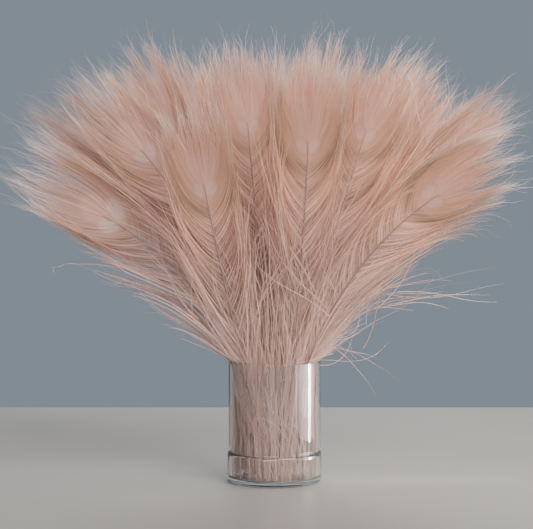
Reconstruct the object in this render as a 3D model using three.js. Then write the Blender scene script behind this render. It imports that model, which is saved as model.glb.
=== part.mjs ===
// A bunch of dyed peacock eye feathers standing in a small clear glass vase.
// Millimetres, +Z up. The origin is the centre of the vase's underside, on the surface it stands on,
// and the side of the bunch that is meant to be looked at faces -Y.
import * as THREE from "three";
import { mergeVertices } from "three/addons/utils/BufferGeometryUtils.js";

const { degToRad, lerp, smoothstep } = THREE.MathUtils;

// ---- driving dimensions of the vase ------------------------------------------------------------

const VASE_HEIGHT = 85;
const BODY_RADIUS = 32.6; // outside of the straight wall
const FOOT_RADIUS = 33.4; // outside of the moulded foot
const FOOT_HEIGHT = 21;
const WALL = 1.7;
const FLOOR = 3.2;
const GROOVE_DEPTH = 0.8; // shallow waist moulded where the wall meets the foot
const EDGE_ROUND = 1.6; // radius of the foot's lower edge
const VASE_FACETS = 48;

// ---- driving dimensions of a feather -----------------------------------------------------------

const LENGTH = 312; // quill end to the tips of the barbs past the eye, on most of the feathers
const STEM_HALF_WIDTH = 0.75;
const EYE_HALF_WIDTH = 19; // half the vane's width across the eye
const TIP_HALF_WIDTH = 10;
const VANE_HALF_THICKNESS = 1.2;
const RINGS_ALONG = 14; // steps along one feather
const SIDES = 4; // a vane is a flat four-sided blade

// Half the blade's width at shares of the feather's length: bare quill, loose barbs, eye, fringe.
const WIDTH_STATIONS = [
  [0.0, STEM_HALF_WIDTH],
  [0.26, 1.2],
  [0.4, 5],
  [0.55, 10],
  [0.72, EYE_HALF_WIDTH],
  [0.86, 18],
  [1.0, TIP_HALF_WIDTH],
];

// ---- driving dimensions of the arrangement -----------------------------------------------------

// The quill ends are gathered on the vase's floor and the stems fan out from there in a cone. A
// direction is written [sweep, tilt] in degrees: sweep leans it to the viewer's right (+X) and tilt
// towards the viewer (-Y). A feather runs straight to BEND_HEIGHT and then turns evenly from its
// stem's direction to its tip's.
const GATHER = new THREE.Vector3(3.5, 0, FLOOR + 0.8); // middle of the gathered quill ends
const GATHER_PER_SWEEP = 0.44; // how far a quill end stands from the middle, per degree of stem
const GATHER_PER_TILT = 0.69;
const BEND_HEIGHT = 52;
const TURN = 4.8; // a tip leans this many times as far as its stem,
const TIP_SWEEP = 4; // and this much further to the right
const STAGGER = 0.6; // neighbours in a row lean this much forwards and backwards in turn
const LONGER_OUTSIDE = 0.15; // extra length of a row's outer feathers, per square degree of sweep

// Feathers set one by one at the front, so that their eyes show.
const SHOWN = [
  { stem: [-13.5, 8], tip: [-7, 37.5], length: 287 },
  { stem: [5.2, 8.4], tip: [0, 36], length: 312 },
  { stem: [9.9, 7.2], tip: [67, 37], length: 306 },
  { stem: [-14.3, 3.6], tip: [-73, 39.5], length: 298 },
  { stem: [-9.4, 4.6], tip: [-49, 22], length: 321 },
  { stem: [-4.4, 5], tip: [-5, 20], length: 310 },
  { stem: [1.4, 5], tip: [9, 21], length: 306 },
  { stem: [9.6, 3.6], tip: [19, 20], length: 310 },
];

// The rest stand in rows behind them, each row from left to right.
const ROWS = [
  { name: "middle", tilt: 1.0, stems: [-12.6, -8.5, -3.5, 2.0, 6.6, 11.9], faces: 0 },
  { name: "near_back", tilt: -2.4, stems: [-14.5, -9.9, -6.6, -0.9, 3.0, 7.5, 11.9], faces: 180 },
  { name: "far_back", tilt: -5.8, stems: [-12.6, -8.1, -3.4, 1.8, 6.2, 10.9], faces: 180 },
  { name: "back", tilt: -9.2, stems: [-10, -5, -0.4, 4.2, 8.2], faces: 180 },
];

const GOLDEN = 0.618034;
const fraction = (x) => x - Math.floor(x);
// An even scatter from -1 to 1, different for each index and seed.
const scatter = (index, seed) => 2 * fraction(index * GOLDEN + seed) - 1;

// How far a feather is turned from the front or the back towards the side it stands on.
const turnedOut = (sweep) => 75 * (sweep / 14) ** 3;

function arrangement() {
  const list = SHOWN.map((f, i) => ({ name: `front_feather_${i + 1}`, faces: 0, ...f }));
  for (const { name, tilt, stems, faces } of ROWS) {
    stems.forEach((sweep, i) => {
      const lean = tilt + (i % 2 ? STAGGER : -STAGGER);
      list.push({
        name: `${name}_feather_${i + 1}`,
        stem: [sweep, lean],
        tip: [TURN * sweep + TIP_SWEEP + 3 * scatter(i, tilt), TURN * lean + 3 * scatter(i, 0.5)],
        length: LENGTH * (1 + 0.03 * scatter(i, 0.08 + tilt)) + LONGER_OUTSIDE * sweep ** 2,
        faces: faces + (faces ? -1 : 1) * turnedOut(sweep) + 12 * scatter(i, 0.7),
      });
    });
  }
  return list;
}

// ---- one feather -------------------------------------------------------------------------------

// Unit vector leaning [sweep, tilt] from upright.
function leaning([sweep, tilt]) {
  const lean = degToRad(Math.hypot(sweep, tilt));
  const round = Math.atan2(sweep, tilt);
  const out = Math.sin(lean);
  return new THREE.Vector3(out * Math.sin(round), -out * Math.cos(round), Math.cos(lean));
}

// Point and direction a distance s along a feather's shaft: a straight stem, then an arc of a
// circle that leaves it without a kink.
function shaft({ stem, tip, length }) {
  const start = leaning(stem);
  const end = leaning(tip);
  const aside = end.clone().addScaledVector(start, -end.dot(start)).normalize();
  const quill = GATHER.clone();
  quill.x += GATHER_PER_SWEEP * stem[0];
  quill.y -= GATHER_PER_TILT * stem[1];
  const straight = (BEND_HEIGHT - GATHER.z) / start.z;
  const radius = (length - straight) / start.angleTo(end);
  return (s) => {
    const turn = Math.max(0, s - straight) / radius;
    const point = quill.clone();
    point.addScaledVector(start, Math.min(s, straight) + radius * Math.sin(turn));
    point.addScaledVector(aside, radius * (1 - Math.cos(turn)));
    const direction = start.clone().multiplyScalar(Math.cos(turn));
    direction.addScaledVector(aside, Math.sin(turn));
    return { point, direction };
  };
}

function halfWidth(share) {
  const k = Math.max(1, WIDTH_STATIONS.findIndex(([s]) => s >= share - 1e-6));
  const [s0, w0] = WIDTH_STATIONS[k - 1];
  const [s1, w1] = WIDTH_STATIONS[k];
  return lerp(w0, w1, smoothstep(share, s0, s1));
}

// A four-sided cylinder of unit size whose rings are carried along the shaft and stretched to the
// vane's width and thickness, with the vane's flat side turned to the azimuth it faces.
function featherGeometry(feather) {
  const at = shaft(feather);
  const turned = degToRad(feather.faces);
  const facing = new THREE.Vector3(Math.sin(turned), -Math.cos(turned), 0);
  const unit = new THREE.CylinderGeometry(1, 1, 1, SIDES, RINGS_ALONG);
  unit.deleteAttribute("normal");
  unit.deleteAttribute("uv");
  const geometry = mergeVertices(unit);
  const places = geometry.getAttribute("position");
  for (let i = 0; i < places.count; i++) {
    const share = places.getY(i) + 0.5;
    const { point, direction } = at(share * feather.length);
    const across = new THREE.Vector3().crossVectors(direction, facing).normalize();
    const outOf = new THREE.Vector3().crossVectors(across, direction);
    point.addScaledVector(across, places.getX(i) * halfWidth(share));
    point.addScaledVector(outOf, places.getZ(i) * lerp(STEM_HALF_WIDTH, VANE_HALF_THICKNESS, share));
    places.setXYZ(i, point.x, point.y, point.z);
  }
  return geometry;
}

// ---- the vase ----------------------------------------------------------------------------------

// The wall's outline turned round the axis: under the foot, up the outside, over the rim and down
// the inside to the middle of the floor.
function vaseGeometry() {
  const inside = BODY_RADIUS - WALL;
  const lip = VASE_HEIGHT - WALL / 2;
  const outline = new THREE.Path();
  outline.moveTo(0, 0);
  outline.lineTo(FOOT_RADIUS - EDGE_ROUND, 0);
  outline.quadraticCurveTo(FOOT_RADIUS, 0, FOOT_RADIUS, EDGE_ROUND);
  outline.lineTo(FOOT_RADIUS, FOOT_HEIGHT - 3);
  outline.quadraticCurveTo(FOOT_RADIUS, FOOT_HEIGHT, BODY_RADIUS - GROOVE_DEPTH, FOOT_HEIGHT);
  outline.quadraticCurveTo(BODY_RADIUS, FOOT_HEIGHT + 1, BODY_RADIUS, FOOT_HEIGHT + 4);
  outline.lineTo(BODY_RADIUS, lip);
  outline.quadraticCurveTo(BODY_RADIUS, VASE_HEIGHT, BODY_RADIUS - WALL / 2, VASE_HEIGHT);
  outline.quadraticCurveTo(inside, VASE_HEIGHT, inside, lip);
  outline.lineTo(inside, FLOOR + 2);
  outline.quadraticCurveTo(inside, FLOOR, inside - 2, FLOOR);
  outline.lineTo(0, FLOOR);
  return new THREE.LatheGeometry(outline.getPoints(3), VASE_FACETS).rotateX(Math.PI / 2);
}

const bunch = new THREE.Group();

const glass = new THREE.MeshStandardMaterial({ color: 0xe6eaea, roughness: 0.05, metalness: 0 });
const vase = new THREE.Mesh(vaseGeometry(), glass);
vase.name = "vase";
bunch.add(vase);

for (const feather of arrangement()) {
  const dyed = new THREE.MeshStandardMaterial({ color: 0xcfa898, roughness: 0.85, metalness: 0 });
  const mesh = new THREE.Mesh(featherGeometry(feather), dyed);
  mesh.name = feather.name;
  bunch.add(mesh);
}

export default bunch;
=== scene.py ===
"""A bunch of dyed peacock eye feathers in a clear glass vase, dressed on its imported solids. The
pieces are worked out in millimetres. Floor, lamps, camera and materials are in metres."""

import bpy
import numpy as np
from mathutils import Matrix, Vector


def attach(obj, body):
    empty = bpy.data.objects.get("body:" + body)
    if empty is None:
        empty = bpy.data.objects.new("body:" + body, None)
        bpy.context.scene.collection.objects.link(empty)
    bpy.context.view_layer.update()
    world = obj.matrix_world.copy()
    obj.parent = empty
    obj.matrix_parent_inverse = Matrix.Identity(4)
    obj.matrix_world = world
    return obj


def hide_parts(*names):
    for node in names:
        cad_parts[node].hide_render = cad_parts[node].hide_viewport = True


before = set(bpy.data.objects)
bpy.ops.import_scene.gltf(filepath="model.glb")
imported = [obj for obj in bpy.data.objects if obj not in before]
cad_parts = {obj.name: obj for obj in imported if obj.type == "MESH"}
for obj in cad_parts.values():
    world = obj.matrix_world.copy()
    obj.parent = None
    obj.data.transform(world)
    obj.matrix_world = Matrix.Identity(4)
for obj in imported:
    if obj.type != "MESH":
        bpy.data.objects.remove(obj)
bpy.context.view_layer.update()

MM = 0.001

# ---- the glass vase ------------------------------------------------------------------------------
# One piece of clear pressed glass: a straight cylinder on a thick foot, with a rounded shoulder and
# a shallow groove where the mould's two parts met. It only stands there, and the stems lean in it.

VASE_HEIGHT, BODY_RADIUS, FOOT_RADIUS, FOOT_HEIGHT = 85.0, 32.6, 33.4, 21.0
WALL, FLOOR_THICKNESS, GROOVE, EDGE_ROUND = 1.7, 3.2, 0.8, 1.6
RING_HEIGHT, HOLLOW_HEIGHT, HOLLOW_RADIUS = 0.05, 0.8, 26.0  # the foot's ring and the hollow in it
INSIDE, NECK = BODY_RADIUS - WALL, BODY_RADIUS - GROOVE


def arc(start, corner, end, steps=8):
    """Points from start to end on the parabola that leaves start and reaches end towards corner:
    (1-t)^2 start + 2t(1-t) corner + t^2 end."""
    t = np.linspace(0, 1, steps)[:, None]
    start, corner, end = (np.array(p, float) for p in (start, corner, end))
    return (1 - t) ** 2 * start + 2 * t * (1 - t) * corner + t**2 * end


def turned(name, outline, around=144):
    """A closed surface of revolution. Point (r, z) of the outline at step k of the turn becomes
    (r cos a, r sin a, z) with a = 2 pi k / around; an outline's end on the axis is one pole."""
    ring = outline[outline[:, 0] > 1e-9]
    a = np.linspace(0, 2 * np.pi, around, endpoint=False)[None, :]
    r, z = ring[:, :1], ring[:, 1:]
    grid = np.stack([r * np.cos(a), r * np.sin(a), z + 0 * a], axis=-1).reshape(-1, 3)
    rows, step = len(ring), np.arange(around)
    after = (step + 1) % around
    start = np.arange(rows - 1)[:, None] * around
    corner, beside = (start + step).ravel(), (start + after).ravel()
    quads = np.stack([corner, beside, beside + around, corner + around], axis=1)
    low, high, top = rows * around, rows * around + 1, (rows - 1) * around
    under = np.stack([np.full(around, low), after, step], axis=1)
    over = np.stack([np.full(around, high), top + step, top + after], axis=1)
    poles = np.array([[0, 0, outline[0, 1]], [0, 0, outline[-1, 1]]])
    faces = quads.tolist() + under.tolist() + over.tolist()
    mesh = bpy.data.meshes.new(name)
    mesh.from_pydata(np.vstack([grid, poles]) * MM, [], faces)
    mesh.shade_smooth()
    piece = bpy.data.objects.new(name, mesh)
    bpy.context.collection.objects.link(piece)
    return piece


class Wire:
    """An output socket among a material's nodes. Sums written on it add Math nodes."""

    def __init__(self, tree, socket=None):
        self.tree, self.socket = tree, socket

    def add(self, kind, settings=None, inputs=None, output=0):
        """A new node of this kind. Its settings are made first, and then its sockets, by name or
        number, get their values or the wires that end there."""
        node = self.tree.nodes.new("ShaderNode" + kind)
        for name, value in (settings or {}).items():
            setattr(node, name, value)
        for name, value in (inputs or {}).items():
            if isinstance(value, Wire):
                self.tree.links.new(value.socket, node.inputs[name])
            else:
                node.inputs[name].default_value = value
        return Wire(self.tree, node.outputs[output] if len(node.outputs) else None)

    def between(self, start, end, low=0.0, high=1.0, smooth=False):
        """low where this is below start, high where it is past end, and a ramp from one to the
        other, straight or smooth."""
        ramp = {"interpolation_type": "SMOOTHSTEP"} if smooth else {}
        ends = {"From Min": start, "From Max": end, "To Min": low, "To Max": high}
        return self.add("MapRange", ramp, {"Value": self, **ends})

    def maths(self, operation, *values):
        """A Math node on values, which are wires or plain numbers."""
        return self.add("Math", {"operation": operation}, dict(enumerate(values)))

    def __add__(self, other):
        return self.maths("ADD", self, other)

    def __sub__(self, other):
        return self.maths("SUBTRACT", self, other)

    def __rsub__(self, other):
        return self.maths("SUBTRACT", other, self)

    def __mul__(self, other):
        return self.maths("MULTIPLY", self, other)

    def __truediv__(self, other):
        return self.maths("DIVIDE", self, other)

    def __pow__(self, other):
        return self.maths("POWER", self, other)

    def __abs__(self):
        return self.maths("ABSOLUTE", self)

    __radd__, __rmul__ = __add__, __mul__


def new_material(name):
    """An empty node material, and a wire to add its nodes by."""
    material = bpy.data.materials.new(name)
    material.use_nodes = True
    material.node_tree.nodes.clear()
    return material, Wire(material.node_tree)


def clear_glass():
    """Plain clear glass. Faint handling marks roughen it, the mould left it very slightly wavy, and
    the foot is pressed in upright flutes too shallow to see as such."""
    material, new = new_material("clear_pressed_glass")
    place = new.add("TexCoord", output="Object")
    marks = new.add("TexNoise", {}, {"Vector": place, "Scale": 38.0, "Detail": 4.0})
    waves = new.add("TexNoise", {}, {"Vector": place, "Scale": 22.0, "Detail": 1.0})
    upright = new.add("VectorMath", {"operation": "MULTIPLY"}, {0: place, 1: (1.0, 1.0, 0.12)})
    flutes = new.add("TexNoise", {}, {"Vector": upright, "Scale": 210.0, "Detail": 1.0})
    height = new.add("SeparateXYZ", {}, {"Vector": place}, output=2)
    on_foot = height.between(0.019, 0.022, 1.0, 0.0)
    relief = waves + flutes * on_foot * 0.8
    glass = new.add(
        "BsdfPrincipled",
        {},
        {
            "Base Color": (0.985, 0.992, 0.99, 1),
            "Roughness": marks.between(0.5, 0.8, 0.0, 0.006),
            "Transmission Weight": 0.985,
            "IOR": 1.5,
            "Normal": new.add("Bump", {}, {"Strength": 0.04, "Distance": MM, "Height": relief}),
        },
    )
    new.add("OutputMaterial", {}, {"Surface": glass})
    return material


lip, rim = VASE_HEIGHT - WALL / 2, BODY_RADIUS - WALL / 2
vase_outline = np.vstack(
    [
        [(0, HOLLOW_HEIGHT), (HOLLOW_RADIUS, HOLLOW_HEIGHT)],
        arc((28, 0.6), (29, 0.1), (30, RING_HEIGHT)),
        arc(
            (FOOT_RADIUS - EDGE_ROUND, RING_HEIGHT),
            (FOOT_RADIUS, RING_HEIGHT),
            (FOOT_RADIUS, EDGE_ROUND),
        ),
        arc((FOOT_RADIUS, FOOT_HEIGHT - 3), (FOOT_RADIUS, FOOT_HEIGHT), (NECK, FOOT_HEIGHT)),
        arc(
            (NECK, FOOT_HEIGHT + 0.2),
            (BODY_RADIUS, FOOT_HEIGHT + 1),
            (BODY_RADIUS, FOOT_HEIGHT + 4),
        ),
        arc((BODY_RADIUS, lip), (BODY_RADIUS, VASE_HEIGHT), (rim, VASE_HEIGHT)),
        arc((rim, VASE_HEIGHT), (INSIDE, VASE_HEIGHT), (INSIDE, lip))[1:],
        arc(
            (INSIDE, FLOOR_THICKNESS + 2),
            (INSIDE, FLOOR_THICKNESS),
            (INSIDE - 2, FLOOR_THICKNESS),
        ),
        [(0, FLOOR_THICKNESS)],
    ]
)
glass_vase = turned("pressed_glass_vase", vase_outline)
glass_vase.data.materials.append(clear_glass())
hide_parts("vase")
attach(glass_vase, "root")

# ---- the plan of the bunch -----------------------------------------------------------------------
# The quill ends are gathered on the vase's floor and the stems fan out from there, held by nothing
# else. A direction is (sweep, tilt) in degrees: sweep leans it to the right (+X), tilt towards the
# front (-Y).

GATHER = np.array([3.5, 0.0, FLOOR_THICKNESS + 0.8])  # the middle of the quill ends
GATHER_PER_SWEEP, GATHER_PER_TILT = 0.44, 0.69  # how far one stands from it, per degree of stem
BEND_HEIGHT = 52.0  # up to here a stem is straight
TURN, TIP_SWEEP = 4.8, 4.0  # a tip leans so many times as far as its stem, and so far to the right
STAGGER, TIP_SCATTER = 0.6, 3.0  # a row's stems lean back and forward in turn, by so many degrees
LENGTH, LENGTH_SCATTER, LONGER_OUTSIDE = 312.0, 0.03, 0.15
PAST_HEART = 70  # a row feather's fringe ends this far past its eye's heart
TURNED_OUT, WIDEST_SWEEP, AZIMUTH_SCATTER = 75, 14, 12  # the outer ones turn to their own side
# The dye lot rises with sweep, so feathers to the right are tanner and lighter: painted light from
# the right, over the lots' own scatter.
LIFT_PER_SWEEP, LOT_AND_LIGHT_PER_SWEEP, LOT_SCATTER = 0.8, 0.035, 0.2

# The front feathers, placed one by one: stem, tip, length, length past the heart of the eye, reach
# of the barbs, degrees that their ends are lifted, size of the pale lobes, dye lot (0 rosy and
# darker, 1 tan and lighter; it rises towards the right as painted light from that side).
SHOWN = [
    ((-13.5, 8), (-7, 37.5), 287, 75, 1.0, 0, 0.92, 0.6),
    ((5.2, 8.4), (0, 36), 312, 75, 1.0, 0, 0.92, 0.88),
    ((9.9, 7.2), (67, 37), 306, 75, 1.1, -4, 1.0, 1.0),
    ((-14.3, 3.6), (-73, 39.5), 298, 75, 1.3, 24, 1.4, 0.0),
    ((-9.4, 4.6), (-49, 22), 321, 75, 1.0, 8, 0.9, 0.15),
    ((-4.4, 5), (-5, 20), 310, 65, 1.0, 0, 0.85, 0.55),
    ((1.4, 5), (9, 21), 306, 65, 1.0, 0, 0.8, 0.6),
    ((9.6, 3.6), (19, 20), 310, 65, 1.0, 0, 0.85, 0.8),
]
ROWS = [  # name, tilt, sweep of each stem, azimuth that the row faces
    ("middle", 1.0, (-12.6, -8.5, -3.5, 2.0, 6.6, 11.9), 0),
    ("near_back", -2.4, (-14.5, -9.9, -6.6, -0.9, 3.0, 7.5, 11.9), 180),
    ("far_back", -5.8, (-12.6, -8.1, -3.4, 1.8, 6.2, 10.9), 180),
    ("back", -9.2, (-10, -5, -0.4, 4.2, 8.2), 180),
]


def scatter(index, seed):
    """An even scatter from -1 to 1: twice the fraction of index times the golden ratio plus seed,
    less 1."""
    return 2 * ((index * 0.618034 + seed) % 1) - 1


plan = [  # node, stem, tip, length, length past the heart, azimuth faced, and the looks as above
    (f"front_feather_{i + 1}", stem, tip, length, past, 0, *looks)
    for i, (stem, tip, length, past, *looks) in enumerate(SHOWN)
]
for row, tilt, sweeps, faces in ROWS:
    for i, sweep in enumerate(sweeps):
        lean = tilt + (STAGGER if i % 2 else -STAGGER)
        tip_sweep = TURN * sweep + TIP_SWEEP + TIP_SCATTER * scatter(i, tilt)
        tip = (tip_sweep, TURN * lean + TIP_SCATTER * scatter(i, 0.5))
        length = LENGTH * (1 + LENGTH_SCATTER * scatter(i, 0.08 + tilt))
        length += LONGER_OUTSIDE * sweep**2
        turned_out = (-1 if faces else 1) * TURNED_OUT * (sweep / WIDEST_SWEEP) ** 3
        azimuth = faces + turned_out + AZIMUTH_SCATTER * scatter(i, 0.7)
        lot = 0.5 + LOT_AND_LIGHT_PER_SWEEP * sweep + LOT_SCATTER * scatter(i, 0.37 + tilt)
        looks = (1.0, LIFT_PER_SWEEP * abs(sweep), 0.9, lot)
        node, stem = f"{row}_feather_{i + 1}", (sweep, lean)
        plan.append((node, stem, tip, length, PAST_HEART, azimuth, *looks))

# ---- the feathers --------------------------------------------------------------------------------
# Each is a tail feather that grew as one piece: a quill that thins into a shaft, and on both sides
# of it barbs that stand apart low down, close up into the eye, and run out past it as a loose
# fringe.

ALONG = 1 - (1 - np.linspace(0, 1, 17)) ** 1.35  # places of a barb's points, closer near its tip

# Down a feather, at distances from the eye's heart (up is positive): barbs per mm on each side, the
# angle at which they leave the shaft, the angle they settle to and the distance they take for it,
# their length, their width, how untidily they lie, where along them their locks begin to close and
# how far, how much the ends fray, how unlike each other they are in lightness, by the dye and by
# the painted shade between strands, and how many degrees round the shaft they stray from the
# vane's plane.
DOWN = np.array([6, -4, -12, -30, -55, -85, -150, -190, -235.0])
DENSITY = np.array([7.0, 7.0, 3.6, 2.1, 1.2, 1.05, 1.0, 0.7, 0.2])
OPENING = np.array([-3, 46, 56, 54, 47, 37, 25, 12, 6.0])
SETTLED = np.array([0, -3, -6, -6, -4, 0, 5, 3, 1.0])
SETTLES_IN = np.array([20, 26, 28, 34, 38, 43, 56, 50, 50.0])
BARB_LENGTH = np.array([76, 84, 94, 108, 122, 136, 140, 110, 95.0])
BARB_WIDTH = np.array([0.36, 0.36, 0.4, 0.4, 0.46, 0.54, 0.6, 0.6, 0.55])
UNTIDY = np.array([0.25, 0.25, 0.25, 0.6, 1.8, 2.7, 3.0, 2.6, 1.8])
CLOSES_FROM = np.array([0.6, 0.6, 0.6, 0.4, 0.2, 0.0, 0.0, 0.0, 0.0])
CLOSED = np.array([0.6, 0.6, 0.55, 0.6, 0.65, 0.6, 0.6, 0.5, 0.4])
FRAYED = np.array([1.0, 1.0, 1.0, 0.9, 0.8, 0.8, 0.8, 0.7, 0.6])
UNLIKE = np.array([0.3, 0.3, 0.6, 1.0, 1.2, 1.3, 1.3, 1.3, 1.2])
ROUND = np.array([0, 0, 0, 0, 6, 18, 38, 40, 30.0])

EYE_BARBS_FROM = -70  # barbs rooted above this run up past the eye
USUAL_PAST_HEART = 75
BARBS_IN_A_LOCK, LOCKS_IN_A_TUFT = 6, 5
SHORTEST_BY_EYE, SHORTEST_BELOW = 0.68, 0.8  # as shares of BARB_LENGTH
LONGER_BY_LOCK, LONGER_BY_TUFT = 0.09, 0.06  # shares by which locks and tufts differ in length
WISPS, MORE_IN_LOCKS, WISP_LONGER = 0.13, 0.25, (0.15, 0.75)  # how many are wisps, how much longer
FRINGE_ENDS, WISPS_BEYOND = 1.05, 0.32  # as shares of the length past the heart
ASTRAY_BY_EYE, ASTRAY_BELOW, ASTRAY_LOOSER = 0.06, 0.14, 2.4  # so many left their lock
TUFT_CLOSES, TUFT_CLOSES_FROM = 0.22, 0.62  # a tuft's locks near each other so far, from there on

# How unlike each other they lie, by the lock and by the single barb: degrees that they stray, curl
# and swing along the vane, mm that they rise off it, their share of ROUND, and their luck with dye.
STRAY, CURL, SWING = (2.0, 2.3), (7.0, 10.0), (14, 13)
RISE, STAND, LUCK = (1.9, 1.1), (0.8, 0.6), (0.15, 0.12)
WISPS_STRAY, WISPS_STRAY_FROM, WISPS_CURL, MOST_CURL = 2.2, -30, 1.5, 75  # so much more than others
SWINGS_FROM, SWINGS_FULLY_IN, WAVES_PER_MM = 0.55, 0.35, (0.2, 0.36)  # only a barb's end waves
LIFTED_FROM, LIFTED_FULLY_IN = -110, 50  # only barbs rooted above this are lifted
CUP_DEPTH, CUP_HALF, CUP_ENDS = 3.0, 22, 30  # the vane curves forwards to both sides
FLUFF, SAG, MOST_RAISED = 5.5, 4.0, 22
# The bold barbs are also lighter and the rest darker: painted shade in the gaps between strands.
BOLD, THICKER, THINNER = 0.4, 1.15, 0.7  # a share of the untidy barbs is thicker, the rest thinner
# Barbs nearest the quill's end, inside the vase, are lighter: partly paler dye as low barbs have,
# partly painted light.
LOWEST, LOWEST_PAINTED_LIGHTER = 80, 0.12  # barbs nearer the quill's end than this took less dye
BARBS_SHEET, SHEET_ROWS = 0.97, 5  # the barbs' share of the bake sheet's width, and rows of them


def leaning(sweep, tilt):
    """Unit vector leaning from upright by the root of sweep squared plus tilt squared, turned round
    the upright by the angle whose sine and cosine go as sweep and tilt."""
    lean, turn = np.radians(np.hypot(sweep, tilt)), np.arctan2(sweep, tilt)
    return np.array([np.sin(lean) * np.sin(turn), -np.sin(lean) * np.cos(turn), np.cos(lean)])


def shaft_of(stem, tip, length, faces):
    """A feather's own frame at distances s along its shaft: point, across and front. The shaft is
    quill + s start while it is straight, and from there it is bent by radius sin(turn) start +
    radius (1 - cos(turn)) aside."""
    start, end = leaning(*stem), leaning(*tip)
    aside = end - (end @ start) * start
    aside /= np.linalg.norm(aside)
    quill = GATHER + [GATHER_PER_SWEEP * stem[0], -GATHER_PER_TILT * stem[1], 0]
    straight = (BEND_HEIGHT - GATHER[2]) / start[2]
    radius = (length - straight) / np.arccos(start @ end)
    facing = np.array([np.sin(np.radians(faces)), -np.cos(np.radians(faces)), 0])

    def at(s):
        turn = np.maximum(0, s - straight)[..., None] / radius
        along = np.minimum(s, straight)[..., None] + radius * np.sin(turn)
        point = quill + along * start + radius * (1 - np.cos(turn)) * aside
        direction = np.cos(turn) * start + np.sin(turn) * aside
        across = np.cross(direction, facing)
        across /= np.linalg.norm(across, axis=-1, keepdims=True)
        return point, across, np.cross(across, direction)

    return at


def held_by_vase(points, bends_from=27, clear=0.5):
    """Inside the vase no centre line comes nearer its wall than clear: a radius r beyond bends_from
    becomes bends_from + room tanh((r - bends_from) / room). The room opens above the rim."""
    radius = np.hypot(points[..., 0], points[..., 1]) + 1e-9
    above_rim = np.maximum(0, points[..., 2] - VASE_HEIGHT - 1)
    room = INSIDE - clear - bends_from + 3.0 * above_rim
    squeezed = bends_from + room * np.tanh((radius - bends_from) / room)
    points[..., :2] *= (np.where(radius > bends_from, squeezed, radius) / radius)[..., None]
    points[..., 2] = np.maximum(points[..., 2], FLOOR_THICKNESS + 0.6)
    return points


def bunched(starts, values):
    """The mean of values over each run of barbs from one of the starts to the next, given to every
    barb of the run."""
    sizes = np.diff(np.append(starts, len(values)))
    shape = (-1,) + (1,) * (values.ndim - 1)
    return np.repeat(np.add.reduceat(values, starts) / sizes.reshape(shape), sizes, axis=0)


def walked(step, angle):
    """Places reached on the flat vane: running sums of step cos(angle) along the shaft and of step
    sin(angle) away from it."""
    angle = np.radians((angle[:, 1:] + angle[:, :-1]) / 2)
    zero = np.zeros((len(step), 1))
    along = np.hstack([zero, np.cumsum(step * np.cos(angle), axis=1)])
    return np.stack([along, np.hstack([zero, np.cumsum(step * np.sin(angle), axis=1)])], axis=-1)


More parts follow.
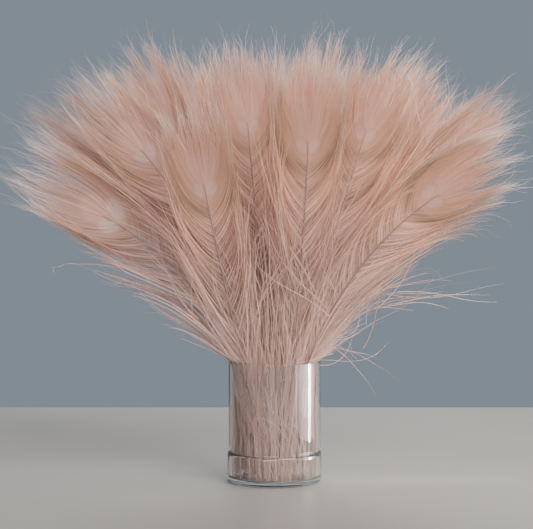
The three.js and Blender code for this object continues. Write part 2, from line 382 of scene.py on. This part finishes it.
class Barbs:
    """The barbs of one feather, down one side and then down the other. Neighbours lie together in
    locks, and by the eye a few locks lie together in a tuft."""

    def __init__(self, rng, heart, past, reach):
        """A barb is rooted where the sum of density over the shaft reaches its own number, give or
        take a random part of one. The fringe ends near past times reach from the heart, and single
        wisps run out beyond it."""
        self.rng, self.heart = rng, heart
        fine = np.linspace(DOWN[-1] + 4, DOWN[0], 4000)
        grown = np.cumsum(np.interp(fine, DOWN[::-1], DENSITY[::-1])) * (fine[1] - fine[0])
        a_side = int(grown[-1])
        count = 2 * a_side
        even = (np.arange(count) % a_side + rng.uniform(0.1, 0.9, count)) * grown[-1] / a_side
        self.roots = roots = np.maximum(np.interp(even, grown, fine), 6 - heart)
        self.count, self.sides = count, np.repeat([-1, 1], a_side)
        self.begins = rng.uniform(size=count) < 1 / BARBS_IN_A_LOCK
        self.begins[[0, a_side]] = True
        self.locks = np.flatnonzero(self.begins)
        self.untidy, self.frayed = self.look(UNTIDY), self.look(FRAYED)
        self.by_eye = by_eye = roots > EYE_BARBS_FROM

        own = self.look(BARB_LENGTH) * np.where(by_eye, past / USUAL_PAST_HEART * reach, 1.0)
        shortest = np.where(by_eye, SHORTEST_BY_EYE, SHORTEST_BELOW)
        own *= shortest + 0.08 * rng.uniform(size=count) + 0.03 * rng.normal(size=count)
        own *= 1 + LONGER_BY_LOCK * np.clip(self.by_lock(), -2.5, 1.2)
        chance = rng.uniform(size=count)
        self.wisp = by_eye & (chance < WISPS + MORE_IN_LOCKS * (self.by_lock() > 0.6))
        own *= (1 + self.wisp * rng.uniform(*WISP_LONGER, count)) * rng.uniform(0.95, 1.05)
        first = np.arange(count) % a_side == 0
        begins = self.begins & ((rng.uniform(size=count) < 1 / LOCKS_IN_A_TUFT) | first)
        self.tufts = np.flatnonzero(begins)
        by_tuft = rng.normal(size=len(self.tufts))[np.cumsum(begins) - 1]
        own *= 1 + LONGER_BY_TUFT * by_eye * np.clip(by_tuft, -2, 1.2)
        beyond = WISPS_BEYOND * self.wisp * rng.uniform(size=count) ** 2
        furthest = (FRINGE_ENDS + beyond) * past * reach
        self.own = np.minimum(own, np.where(by_eye, furthest - roots, 200))
        likely = np.where(self.untidy > 0.7, ASTRAY_BELOW, ASTRAY_BY_EYE)
        self.loose = 1 + ASTRAY_LOOSER * (rng.uniform(size=count) < likely)

    def look(self, table):
        """The table's value at each barb's root."""
        return np.interp(self.roots, DOWN[::-1], table[::-1])

    def by_lock(self):
        """A normal random number for each lock, given to all its barbs."""
        return self.rng.normal(size=len(self.locks))[np.cumsum(self.begins) - 1]

    def unlike(self, as_lock, as_barb, looser=1):
        """A random amount for each barb: as_lock times a normal number for its lock, plus as_barb
        times looser times one of its own."""
        shared = as_lock * self.by_lock()
        return shared + as_barb * self.rng.normal(size=self.count) * looser

    def on_vane(self, lift, upper):
        """Each barb's tidy place on the flat vane, and where it really lies. Its tidy angle to the
        shaft is settled + (opening - settled) exp(-d / settles_in) at a distance d along it. It
        strays from that, its end curls and waves, and by the eye its end is lifted to the side of
        the vane that is the upper one. With t it nears the mean path of its lock and its tuft."""
        t, d, step = ALONG[None, :], self.own[:, None] * ALONG, self.own[:, None] * np.diff(ALONG)
        settled, opening = self.look(SETTLED)[:, None], self.look(OPENING)[:, None]
        tidy = settled + (opening - settled) * np.exp(-d / self.look(SETTLES_IN)[:, None])
        stray = self.unlike(*STRAY, self.loose) * (self.untidy + 0.2)
        stray *= 1 + WISPS_STRAY * self.wisp * (self.roots > WISPS_STRAY_FROM)
        curl = self.unlike(*CURL, self.loose * (1 + WISPS_CURL * self.wisp))
        curl = np.clip(curl, -MOST_CURL, MOST_CURL) * self.frayed
        swing = self.frayed * self.unlike(*SWING)
        ending = np.clip((t - SWINGS_FROM) / SWINGS_FULLY_IN, 0, 1)
        rate = self.rng.uniform(*WAVES_PER_MM, (self.count, 1))
        waving = swing[:, None] * ending * np.sin(d * rate + 2 * self.by_lock()[:, None])
        near_eye = np.clip((self.roots - LIFTED_FROM) / LIFTED_FULLY_IN, 0, 1)
        lifts = lift * upper * self.sides * near_eye
        lifted = lifts[:, None] * np.clip(d / 100, 0, 1.2) ** 2.5
        angle = tidy + stray[:, None] * t + curl[:, None] * t**4 + waving + lifted
        flat, path = walked(step, tidy), walked(step, angle)
        flat[..., 0] += self.roots[:, None]
        path[..., 0] += self.roots[:, None]
        begun = self.look(CLOSES_FROM)[:, None]
        nearing = np.clip((t - begun) / (1 - begun), 0, 1)
        closing = self.look(CLOSED)[:, None] * nearing**2 * (3 - 2 * nearing)
        closing *= 1 - 0.45 * t**6
        path += closing[..., None] * (bunched(self.locks, path) - path)
        past_closing = np.clip((t - TUFT_CLOSES_FROM) / (1 - TUFT_CLOSES_FROM), 0, 1)
        gathers = TUFT_CLOSES * self.by_eye[:, None] * past_closing**1.5
        path += gathers[..., None] * (bunched(self.tufts, path) - path)
        return flat * np.stack([np.ones(self.count), self.sides], axis=-1)[:, None, :], path

    def in_space(self, at, path):
        """Centre lines round the bent shaft, and the vane's front there. A barb is raised off the
        vane's plane by the vane's cup, depth (across / half)^2, by its own disorder, by that of the
        fringe, and by the angle at which it stands out round the shaft. Its own weight makes it
        sag."""
        t, d = ALONG[None, :], self.own[:, None] * ALONG
        point, right, front = at(np.maximum(self.heart + path[..., 0], 1.0))
        across = np.minimum(np.abs(path[..., 1]), CUP_ENDS)
        uneven = 0.3 * self.rng.normal(size=self.count)[:, None]
        raised = CUP_DEPTH * (across / CUP_HALF) ** 2 - 1.0 + uneven
        disorder = self.unlike(*RISE, self.loose) * (self.untidy + 0.15)
        raised += disorder[:, None] * 3.0 * t**2
        fluff = FLUFF * np.clip(self.unlike(1, 1), -2.5, 2.0) * self.frayed * self.by_eye
        raised += fluff[:, None] * np.clip((t - 0.6) / 0.4, 0, 1) ** 2
        raised *= np.minimum(1, d / 12)
        stands = np.radians(self.unlike(*STAND) * self.look(ROUND))[:, None]
        raised += np.sin(stands) * path[..., 1]
        raised = MOST_RAISED * np.tanh(raised / MOST_RAISED)
        aside = self.sides[:, None] * np.cos(stands) * path[..., 1]
        centre = point + right * aside[..., None] + front * raised[..., None]
        centre[..., 2] -= SAG * self.untidy[:, None] * (d / 100) ** 2
        return held_by_vase(centre), front

    def threads(self):
        """Each barb's width and roll along it, and its lightness, from 0, dark, to 1: its luck with
        the dye, with the bold barbs lighter and the rest darker as painted shade between strands,
        and the barbs nearest the quill's end lighter as painted light.
        """
        t = ALONG[None, :]
        taper = np.minimum(1, 0.6 + 3.0 * t) * (1 - 0.84 * np.clip((t - 0.4) / 0.6, 0, 1))
        uneven, rolled = self.rng.normal(size=self.count), self.rng.normal(size=self.count)
        wide = self.look(BARB_WIDTH)[:, None] * taper * (1 + 0.18 * uneven[:, None])
        roll = np.radians(15 * rolled * (0.4 + self.untidy))[:, None] * (0.3 + t)
        bold = self.rng.uniform(size=self.count) < BOLD
        apart = np.where(self.untidy < 1, 1.0, np.where(bold, THICKER, THINNER))
        wide = wide * apart[:, None] * (1 - 0.4 * self.wisp)[:, None]
        # Painted shade: the bold barbs are made lighter and the rest darker, for the shade between
        # strands.
        own_lightness = self.unlike(*LUCK) + 0.6 * bold - 0.26
        lightness = 0.5 + own_lightness * self.look(UNLIKE)
        # Painted light: the barbs nearest the quill's end, inside the vase, are made lighter.
        lightness += LOWEST_PAINTED_LIGHTER * (self.heart + self.roots < LOWEST)
        return wide, roll, np.clip(lightness, 0, 1)


def ribbons(centre, front, vane, wide, roll, lightness):
    """Flat ribbons on the centre lines. Each is spread along the cross product of its own direction
    with the vane's front, turned about that direction by its roll. On the bake sheet they stand
    side by side in rows."""
    along = np.gradient(centre, axis=1)
    along /= np.linalg.norm(along, axis=-1, keepdims=True)
    spread = np.cross(along, front)
    spread /= np.linalg.norm(spread, axis=-1, keepdims=True)
    lifted = np.cross(spread, along)
    spread = np.cos(roll)[..., None] * spread + np.sin(roll)[..., None] * lifted
    half = spread * (wide / 2)[..., None]
    count, points = wide.shape
    verts = np.stack([centre - half, centre + half], axis=2).reshape(-1, 3)
    first = (np.arange(count)[:, None] * points + np.arange(points - 1)[None, :]).ravel() * 2
    quads = np.stack([first, first + 1, first + 3, first + 2], axis=1)
    t = np.broadcast_to(ALONG[None, :], wide.shape)
    strand = np.stack([t, np.broadcast_to(lightness[:, None], wide.shape)], axis=-1)
    columns, index = -(-count // SHEET_ROWS), np.arange(count)[:, None]
    u = (index % columns + 0.5) / columns * BARBS_SHEET
    v = (index // columns + 0.02 + 0.96 * t) / SHEET_ROWS
    edge = 0.4 / columns * BARBS_SHEET
    sheet = [np.stack([u - edge + 0 * v, v], -1), np.stack([u + edge + 0 * v, v], -1)]

    def both_edges(values):
        return np.repeat(values[:, :, None, :], 2, axis=2).reshape(-1, 2)

    maps = {
        "vane": both_edges(vane),
        "strand": both_edges(strand),
        "OFBake": np.stack(sheet, axis=2).reshape(-1, 2),
    }
    return verts, quads, maps


def shaft_tube(at, heart, rings=56):
    """The quill and shaft: rings of eight points at radius r(s) round the shaft's line, and three
    quads over each end."""
    s = np.linspace(0, heart + 5, rings)
    places = [0, 3, 40, 90, 160, heart - 20, heart + 5]
    radius = np.interp(s, places, [0.6, 1.0, 1.05, 0.95, 0.65, 0.4, 0.15])
    point, right, front = at(s)
    k = np.arange(8)
    a = k[None, :, None] * np.pi / 4
    ring = right[:, None] * np.cos(a) + front[:, None] * np.sin(a)
    verts = (point[:, None] + ring * radius[:, None, None]).reshape(-1, 3)
    here = (np.arange(rings - 1)[:, None] * 8 + k).ravel()
    beside = (np.arange(rings - 1)[:, None] * 8 + (k + 1) % 8).ravel()
    quads = np.stack([here, beside, beside + 8, here + 8], axis=1)
    cap = np.array([[0, 1, 2, 3], [0, 3, 4, 7], [4, 5, 6, 7]])
    quads = np.vstack([quads, cap[:, ::-1], cap + (rings - 1) * 8])
    place = np.repeat((s - heart)[:, None], 8, axis=1)
    share = np.repeat((s / s[-1])[:, None], 8, axis=1)
    turn = np.broadcast_to(k[None, :] / 8, place.shape)
    maps = {
        "vane": np.stack([place, 0 * place], -1).reshape(-1, 2),
        "strand": np.stack([share, turn], -1).reshape(-1, 2),
        "OFBake": np.stack([0.975 + 0.022 * turn, 0.01 + 0.98 * share], -1).reshape(-1, 2),
    }
    return verts, quads, maps


def joined(name, parts):
    """One piece of the parts (vertices, quads, uv maps) in order, each in a material slot of its
    own."""
    starts = np.cumsum([0] + [len(verts) for verts, _, _ in parts])
    verts = np.vstack([part[0] for part in parts])
    quads = np.vstack([part[1] + start for part, start in zip(parts, starts)])
    mesh = bpy.data.meshes.new(name)
    mesh.vertices.add(len(verts))
    mesh.vertices.foreach_set("co", (verts * MM).astype(np.float32).ravel())
    mesh.loops.add(quads.size)
    mesh.loops.foreach_set("vertex_index", quads.astype(np.int32).ravel())
    mesh.polygons.add(len(quads))
    mesh.polygons.foreach_set("loop_start", np.arange(0, quads.size, 4, dtype=np.int32))
    slots = np.repeat(np.arange(len(parts)), [len(part[1]) for part in parts])
    mesh.polygons.foreach_set("material_index", slots.astype(np.int32))
    for key in parts[0][2]:
        whole = np.vstack([part[2][key] for part in parts])
        mesh.uv_layers.new(name=key).data.foreach_set("uv", whole[quads].astype(np.float32).ravel())
    mesh.update(calc_edges=True)
    mesh.shade_smooth()
    piece = bpy.data.objects.new(name, mesh)
    bpy.context.collection.objects.link(piece)
    return piece


def feather(name, stem, tip, length, past, faces, reach, lift, lobes, lot, seed):
    """One feather as one mesh: its shaft in the first material, its barbs in the second."""
    at, heart = shaft_of(stem, tip, length, faces), length - past
    upper = np.sign(at(np.array([heart]))[1][0, 2])
    barbs = Barbs(np.random.default_rng(seed), heart, past, reach)
    vane, path = barbs.on_vane(lift, upper)
    centre, front = barbs.in_space(at, path)
    parts = [shaft_tube(at, heart), ribbons(centre, front, vane, *barbs.threads())]
    for verts, _, maps in parts:
        maps["lot"] = np.tile([lot, lobes], (len(verts), 1))
    return joined(name, parts)


def dye(red, green, blue):
    """A colour given as 0 to 255 in the usual display scale, as linear light."""
    c = np.array([red, green, blue]) / 255
    linear = np.where(c <= 0.04045, c / 12.92, ((c + 0.055) / 1.055) ** 2.4)
    return (*linear.tolist(), 1.0)


def tinted(new, colour, other, share):
    """colour mixed towards other by share."""
    return new.add("Mix", {"data_type": "RGBA"}, {0: share, 6: colour, 7: other}, output=2)


def both_numbers(new, layer):
    """The two numbers that a UV map of this name holds."""
    split = new.add("SeparateXYZ", {}, {"Vector": new.add("UVMap", {"uv_map": layer})})
    return split, Wire(new.tree, split.socket.node.outputs[1])


def within(a, v, middle, long, wide, inner, outer):
    """1 inside the oval of half-axes long and wide about (middle, 0), falling to 0 between inner
    and outer times its size."""
    size = (((a - middle) / long) ** 2 + (v / wide) ** 2) ** 0.5
    return size.between(inner, outer, 1.0, 0.0, smooth=True)


# Where the eye's zones lie: their middle up from the heart, half their length and half their width.
LOBE, OVAL, DISC, RING = (1.5, 6.4, 4.3), (16, 13, 10), (22, 33, 18.5), (22, 40, 25)
LOBE_ASIDE, LOBE_SPLAYED = 4.2, 0.22  # how far off the shaft, and how much further per mm up


def dyed_barbs():
    """Bleached peacock barbs dyed blush. The dye leaves the eye's zones faintly apart: two pale
    lobes at its heart, a pink oval, a browner disc and a tan ring, whose lower half is darkened
    as painted shade; the fringe's ends stay almost undyed. a and v are a barb's place on the
    vane in mm, along from the heart and across, t its share of the barb's length, lightness how
    light the barb is: its luck with the dye, with painted shade on the barbs that are not bold
    and painted light on those nearest the quill's end."""
    material, new = new_material("blush_dyed_barbs")
    a, v = both_numbers(new, "vane")
    t, lightness = both_numbers(new, "strand")
    lot, size = both_numbers(new, "lot")
    beside = abs(v) / size - LOBE_ASIDE - LOBE_SPLAYED * (a / size)
    lobes = within(a / size, beside, *LOBE, 0.6, 1.1)
    edge_of_lobes = within(a / size, beside, *LOBE, 1.05, 1.5) - lobes
    oval = within(a, v, *OVAL, 0.6, 1.2)
    disc = within(a, v, *DISC, 0.85, 1.1)
    ring = within(a, v, *RING, 0.9, 1.15) - disc
    shaded_low_half = a.between(-5.0, 30.0, 1.0, 0.0)
    low_down = a.between(-90.0, -15.0, 0.8, 0.0)
    past_the_eye = a.between(42.0, 68.0)
    pale = t.between(0.5, 0.9, 0.2, 0.95, smooth=True)
    undyed = pale * past_the_eye * (0.35 + lightness * 0.9) * (0.48 + lot * 0.55)

    rosy, tan, greyer = dye(188, 147, 136), dye(238, 185, 155), dye(194, 165, 158)
    rosy_brown, tan_brown, ring_tan = dye(186, 144, 130), dye(222, 164, 134), dye(197, 155, 128)
    pink, mauve, pale_lobe = dye(226, 180, 165), dye(196, 158, 146), dye(232, 212, 211)
    nearly_white = dye(241, 236, 238)
    # The tan lot is lighter than the rosy one, and the lot rises to the bunch's right: partly
    # painted light from that side.
    colour = tinted(new, rosy, tan, lot)
    colour = tinted(new, colour, greyer, low_down)
    colour = tinted(new, colour, ring_tan, ring * (0.42 + abs(lot - 0.5) * 0.8))
    colour = tinted(new, colour, tinted(new, rosy_brown, tan_brown, lot), disc * 0.75)
    colour = tinted(new, colour, pink, oval * 0.5)
    colour = tinted(new, colour, mauve, edge_of_lobes * 0.25)
    colour = tinted(new, colour, pale_lobe, lobes * (0.12 + size * 0.17))
    colour = tinted(new, colour, nearly_white, undyed)

    grain = new.add("CombineXYZ", {}, {0: t * 60, 1: lightness * 900})
    speck = new.add(
        "TexNoise", {"noise_dimensions": "2D"}, {"Vector": grain, "Scale": 1.0, "Detail": 2.0}
    )
    evened = lightness + (0.52 - lightness) * disc * 0.8
    # Painted shade: the ring is darkened over the eye's lower half, where shadow falls.
    shade = 0.54 + evened * 0.84 + speck * 0.08 - ring * shaded_low_half * 0.19
    grey = new.add("CombineColor", {}, {0: shade, 1: shade, 2: shade})
    multiply = {"data_type": "RGBA", "blend_type": "MULTIPLY"}
    silk = new.add(
        "BsdfPrincipled",
        {},
        {
            "Base Color": new.add("Mix", multiply, {0: 1.0, 6: colour, 7: grey}, output=2),
            "Roughness": 0.58 + speck * 0.1,
            "Specular IOR Level": 0.25,
            "Sheen Weight": 0.1,
            "Sheen Roughness": 0.4,
            "Sheen Tint": dye(245, 225, 215),
            "Normal": new.add("Bump", {}, {"Strength": 0.3, "Distance": 0.2 * MM, "Height": speck}),
        },
    )
    through = new.add("BsdfTranslucent", {}, {"Color": dye(223, 203, 196)})
    barb = new.add("MixShader", {}, {0: 0.23, 1: silk, 2: through})
    new.add("OutputMaterial", {}, {"Surface": barb})
    return material


def horn():
    """The quill and shaft: smooth horn, grey-brown in the quill and mauver towards the eye."""
    material, new = new_material("shaft_horn")
    share, _ = both_numbers(new, "strand")
    place = new.add("TexCoord", output="Object")
    streak = new.add("TexNoise", {}, {"Vector": place, "Scale": 160.0})
    colour = tinted(new, dye(130, 98, 91), dye(146, 122, 124), share)
    colour = tinted(new, colour, dye(172, 140, 130), streak * 0.5)
    rough = 0.38 + streak * 0.15
    finish = {"Base Color": colour, "Roughness": rough, "Specular IOR Level": 0.5}
    new.add("OutputMaterial", {}, {"Surface": new.add("BsdfPrincipled", {}, finish)})
    return material


shaft_horn, barb_dye = horn(), dyed_barbs()
for number, (node, *shape) in enumerate(plan):
    piece = feather(f"eye_{node}", *shape, seed=number + 11)
    piece.data.materials.append(shaft_horn)
    piece.data.materials.append(barb_dye)
    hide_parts(node)
    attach(piece, "root")

# ---- loose barbs ---------------------------------------------------------------------------------
# Barbs that came off low on the shafts as the bunch was pushed in. Most stand in the vase, pressed
# against its wall. The rest loop there, curl out over the rim, trail from the bunch's lower sides,
# cross in front of the stems, or lie caught in the fringe.

FULL_WIDTH = 0.9
HEIGHTS, RIM_REACH = (60, 150), 32  # how high a standing one ends, and how far out at the rim


def standing_barbs(rng, count, nearest, gathered, behind, swing):
    """Barbs from the vase's floor upwards. At a height h above it, one stands at its foot + h times
    its lean + a wave swing sin(k h + phase) in x and in y. Its place at the rim is the rim's reach
    times a number from nearest to 1, to the power 0.4, from the axis, and is mirrored to the back
    where it was further forward than behind. Its foot is that place drawn in towards the gathered
    quills by the share gathered."""
    t = ALONG[None, :]
    ring = RIM_REACH * rng.uniform(nearest, 1, count) ** 0.4
    turn = rng.uniform(0, 2 * np.pi, count)
    at_rim = np.stack([ring * np.cos(turn), ring * np.sin(turn)], axis=-1)
    at_rim[:, 1] = np.where(at_rim[:, 1] < behind, -at_rim[:, 1], at_rim[:, 1])
    foot = at_rim + (GATHER[:2] - at_rim) * rng.uniform(*gathered, (count, 1))
    foot += rng.normal(size=(count, 2)) * 2.5
    height = t * rng.uniform(*HEIGHTS, count)[:, None]
    lean = (at_rim - foot) / (VASE_HEIGHT - FLOOR_THICKNESS)
    size = swing * rng.uniform(0.3, 1.0, (count, 1, 2))
    turns = (height * rng.uniform(0.03, 0.1, (count, 1)))[..., None]
    wave = size * np.sin(turns + rng.uniform(0, 6.3, (count, 1, 2)))
    plane = foot[:, None] + lean[:, None] * height[..., None] + wave
    centre = held_by_vase(np.dstack([plane, FLOOR_THICKNESS + 0.8 + height]))
    front = np.dstack([plane + [0, -8], 0 * height + 4])
    return centre, front / np.linalg.norm(front, axis=-1, keepdims=True)


def curling_barbs(rng, root, strewn, heading, spread, count, longest, bend, forward, wave):
    """Barbs from near root, strewn about it. Seen from the front each sets off near heading, in
    degrees up from +X, and turns by bend on its way, and by a slow sine wave besides. It comes
    forward by the slope given."""
    t = ALONG[None, :]
    angle = heading + spread * rng.normal(size=(count, 1))
    angle = angle + bend * rng.uniform(0.5, 1.2, (count, 1)) * t
    angle = np.radians(angle + wave * np.sin(5 * t + rng.uniform(0, 6.3, (count, 1))))
    step = longest * rng.uniform(0.6, 1, (count, 1)) * np.diff(ALONG, prepend=0)[None, :]
    ahead = -forward + 0.15 * np.sin(4 * t + rng.uniform(0, 6.3, (count, 1)))
    moves = np.dstack([np.cos(angle), ahead, np.sin(angle)]) * step[..., None]
    start = np.array(root) + rng.normal(size=(count, 1, 3)) * [strewn, 3, strewn]
    centre = start + np.cumsum(moves, axis=1)
    return centre, np.broadcast_to(np.array([0.0, -1.0, 0.0]), centre.shape)


def curls_in_the_vase(rng, *row):
    """Curling barbs that the vase's wall holds in."""
    centre, front = curling_barbs(rng, *row)
    return held_by_vase(centre), front


FILLING = [  # how many, how near the axis, how far drawn in at the foot, how far forward, swing
    (650, 0.03, (0.7, 0.95), 3, 0.5),
    (600, 0.03, (0.0, 0.25), 4, 1.0),
    (950, 0.8, (0.0, 0.1), -9, 1.2),
]
SPARSE = [
    (70, 0.3, (0.6, 0.95), -40, 1.0),
    (60, 0.7, (0.0, 0.5), -40, 1.5),
    (90, 0.3, (0.0, 0.4), -40, 5.0),
]
AT_THE_GLASS = [
    (70, 0.7, (0.1, 0.5), -40, 1.5),
]
HANGING = [  # root, how strewn, heading, spread, how many, longest, bend, slope forward, wave
    ((21, -6, 92), 4, 8, 10, 5, 66, 70, 0.1, 16),
    ((27, -6, 96), 4, 28, 12, 5, 60, -115, 0.1, 18),
    ((34, -8, 104), 4, -8, 10, 5, 52, 80, 0.1, 18),
    ((76, -20, 134), 4, 2, 4, 4, 82, 8, 0.15, 9),
    ((70, -18, 126), 4, 12, 5, 5, 70, -14, 0.15, 9),
    ((60, -16, 116), 4, 22, 6, 5, 52, -24, 0.15, 11),
    ((-52, -12, 108), 4, 150, 4, 6, 66, -8, 0.1, 8),
    ((-80, -20, 130), 4, 160, 5, 5, 62, -16, 0.15, 9),
    ((-20, 30, 96), 4, 120, 25, 4, 45, 60, -0.2, 16),
    ((30, 34, 98), 4, 50, 25, 4, 45, -60, -0.2, 16),
]
CROSSING = [
    ((-8, -40, 128), 13, 70, 16, 18, 92, 16, 0.22, 12),
    ((22, -42, 124), 13, 108, 16, 18, 92, -16, 0.22, 12),
    ((2, -40, 150), 13, 58, 14, 10, 70, 10, 0.22, 10),
    ((56, -36, 128), 13, 62, 14, 12, 84, 12, 0.18, 12),
    ((-52, -34, 122), 13, 124, 14, 12, 84, -12, 0.18, 12),
]
LOOPED = [
    ((-13, -26, 22), 4, 110, 5, 2, 105, -185, 0.0, 4),
    ((-19, -21, 12), 4, 98, 8, 5, 84, -60, 0.0, 10),
    ((8, -27, 16), 4, 84, 10, 4, 80, 50, 0.0, 12),
    ((17, -24, 10), 4, 72, 12, 5, 62, 90, 0.0, 14),
]
BESIDE_STEMS = [
    ((3, -12, 7), 4, 110, 3.5, 16, 104, 2, 0.12, 1.5),
    ((5, -12, 7), 4, 81, 2.5, 12, 104, -2, 0.12, 1.5),
]
CAUGHT_ON_TOP = [
    ((-96, -20, 250), 8, 108, 13, 26, 42, 40, 0.0, 20),
    ((-38, -20, 256), 9, 97, 13, 26, 42, -40, 0.0, 20),
    ((38, -20, 258), 9, 84, 13, 30, 42, 40, 0.0, 20),
    ((80, -20, 250), 9, 74, 13, 36, 44, 45, 0.0, 20),
    ((112, -20, 232), 9, 62, 13, 26, 48, 35, 0.0, 20),
]
KINDS = [  # how they are made, the groups, share of the full width, whether they are nearly undyed
    (standing_barbs, FILLING, 1.0, False),
    (standing_barbs, SPARSE, 0.5, False),
    (curling_barbs, HANGING, 0.5, True),
    (curling_barbs, CROSSING, 0.5, False),
    (curls_in_the_vase, LOOPED, 0.5, True),
    (curls_in_the_vase, BESIDE_STEMS, 1.1, False),
    (standing_barbs, AT_THE_GLASS, 0.5, False),
    (curling_barbs, CAUGHT_ON_TOP, 0.34, True),
]
rng = np.random.default_rng(7)
groups = [(make(rng, *row), share, pale) for make, rows, share, pale in KINDS for row in rows]
centre, front = (np.vstack([made[k] for made, _, _ in groups]) for k in (0, 1))
sizes = [len(made[0]) for made, _, _ in groups]
share, pale = (np.repeat([group[k] for group in groups], sizes)[:, None] for k in (1, 2))
count, t = len(centre), ALONG[None, :]
wide = FULL_WIDTH * share * (1 - 0.8 * t**2) * rng.uniform(0.6, 1.2, (count, 1))
roll = np.radians(30 * np.clip(rng.normal(size=(count, 1)), -1.5, 1.5)) * (0.3 + t)
lightness = np.clip(0.6 + 0.36 * rng.normal(size=count), 0, 1)
# Their dye is that of a barb past the eye or low down on the vane, 40 mm out from the shaft.
flat = np.dstack([np.where(pale, 70 + 8 * t, -50 - 20 * t), 40 + 0 * wide])
verts, quads, maps = ribbons(centre, front, flat, wide, roll, lightness)
maps["lot"] = np.full((len(verts), 2), 0.5)
loose = joined("loose_barbs", [(verts, quads, maps)])
loose.data.materials.append(barb_dye)
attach(loose, "root")

# ---- floor, light and camera ---------------------------------------------------------------------
# A plain pale table top and a soft grey-blue surround. A wide lamp from the front right is the main
# light. The low lamps close by shine in narrow cones, to show as upright highlights on the glass.

table = bpy.data.meshes.new("table_top")
corners = [(-0.9, -0.9, 0), (0.9, -0.9, 0), (0.9, 0.39, 0), (-0.9, 0.39, 0)]
table.from_pydata(corners, [], [(0, 1, 2, 3)])
table_top = bpy.data.objects.new("table_top", table)
bpy.context.collection.objects.link(table_top)
paint, new = new_material("pale_table_paint")
grain = new.add("TexNoise", {}, {"Vector": new.add("TexCoord", output="Object"), "Scale": 9.0})
pale_grey = tinted(new, dye(138, 135, 130), dye(146, 143, 138), grain)
matt = new.add("BsdfPrincipled", {}, {"Base Color": pale_grey, "Roughness": 0.45})
new.add("OutputMaterial", {}, {"Surface": matt})
table.materials.append(paint)

world = bpy.data.worlds.new("soft_surround")
bpy.context.scene.world = world
world.use_nodes = True
world.node_tree.nodes["Background"].inputs["Color"].default_value = dye(130, 141, 152)
world.node_tree.nodes["Background"].inputs["Strength"].default_value = 1.0


def lamp(name, place, aim, size, power, colour, spread=180):
    """A soft oblong lamp of the size (width, height) at place, turned to shine at aim, whose light
    leaves it within a cone of spread degrees."""
    light = bpy.data.lights.new(name, "AREA")
    light.spread = np.radians(spread)
    light.shape = "RECTANGLE"
    light.size, light.size_y = size
    light.energy, light.color = power, colour
    held = bpy.data.objects.new(name, light)
    bpy.context.collection.objects.link(held)
    held.location = place
    held.rotation_euler = (Vector(aim) - held.location).to_track_quat("-Z", "Y").to_euler()


MIDDLE = (0, 0, 0.18)
WARM, ROSY, SOFT_ROSY = (1.0, 0.95, 0.9), (1.0, 0.94, 0.93), (1.0, 0.94, 0.94)
NEAR_WHITE, CREAM, OFF_WHITE = (1.0, 0.98, 0.97), (1.0, 0.96, 0.92), (1.0, 0.98, 0.96)
VIOLET, COOL = (0.93, 0.92, 1.0), (0.92, 0.95, 1.0)
lamp("front_right", (1.0, -1.25, 1.4), MIDDLE, (1.4, 1.4), 75, WARM)
lamp("window_right", (1.3, 0.0, 0.55), (0, 0, 0.4), (0.3, 1.1), 6, CREAM)
lamp("low_window", (0.19, 0.0, 0.055), (0, 0, 0.055), (0.03, 0.105), 0.065, NEAR_WHITE, 30)
lamp("low_wide", (0.2, -0.025, 0.056), (0, -0.025, 0.056), (0.19, 0.108), 0.095, SOFT_ROSY, 70)
lamp("low_slit", (0.26, -0.2, 0.06), (0, 0, 0.06), (0.025, 0.12), 0.0075, VIOLET, 60)
lamp("low_front", (-0.3, -1.8, 0.3), (0, 0, 0.08), (1.2, 0.35), 14.0, ROSY)
lamp("fill_left", (-1.4, -1.2, 0.8), MIDDLE, (1.2, 1.2), 4, COOL)
lamp("back_top", (0.1, 0.9, 1.3), MIDDLE, (1.0, 1.0), 22, OFF_WHITE)

camera = bpy.data.cameras.new("camera")
camera.lens, camera.sensor_width, camera.clip_start = 86.0, 36.0, 0.01
viewer = bpy.data.objects.new("camera", camera)
bpy.context.collection.objects.link(viewer)
viewer.location = (-0.0057, -0.9, 0.170)
looks_at = Vector((-0.0057, 0, 0.1527))
viewer.rotation_euler = (looks_at - viewer.location).to_track_quat("-Z", "Y").to_euler()
bpy.context.scene.camera = viewer
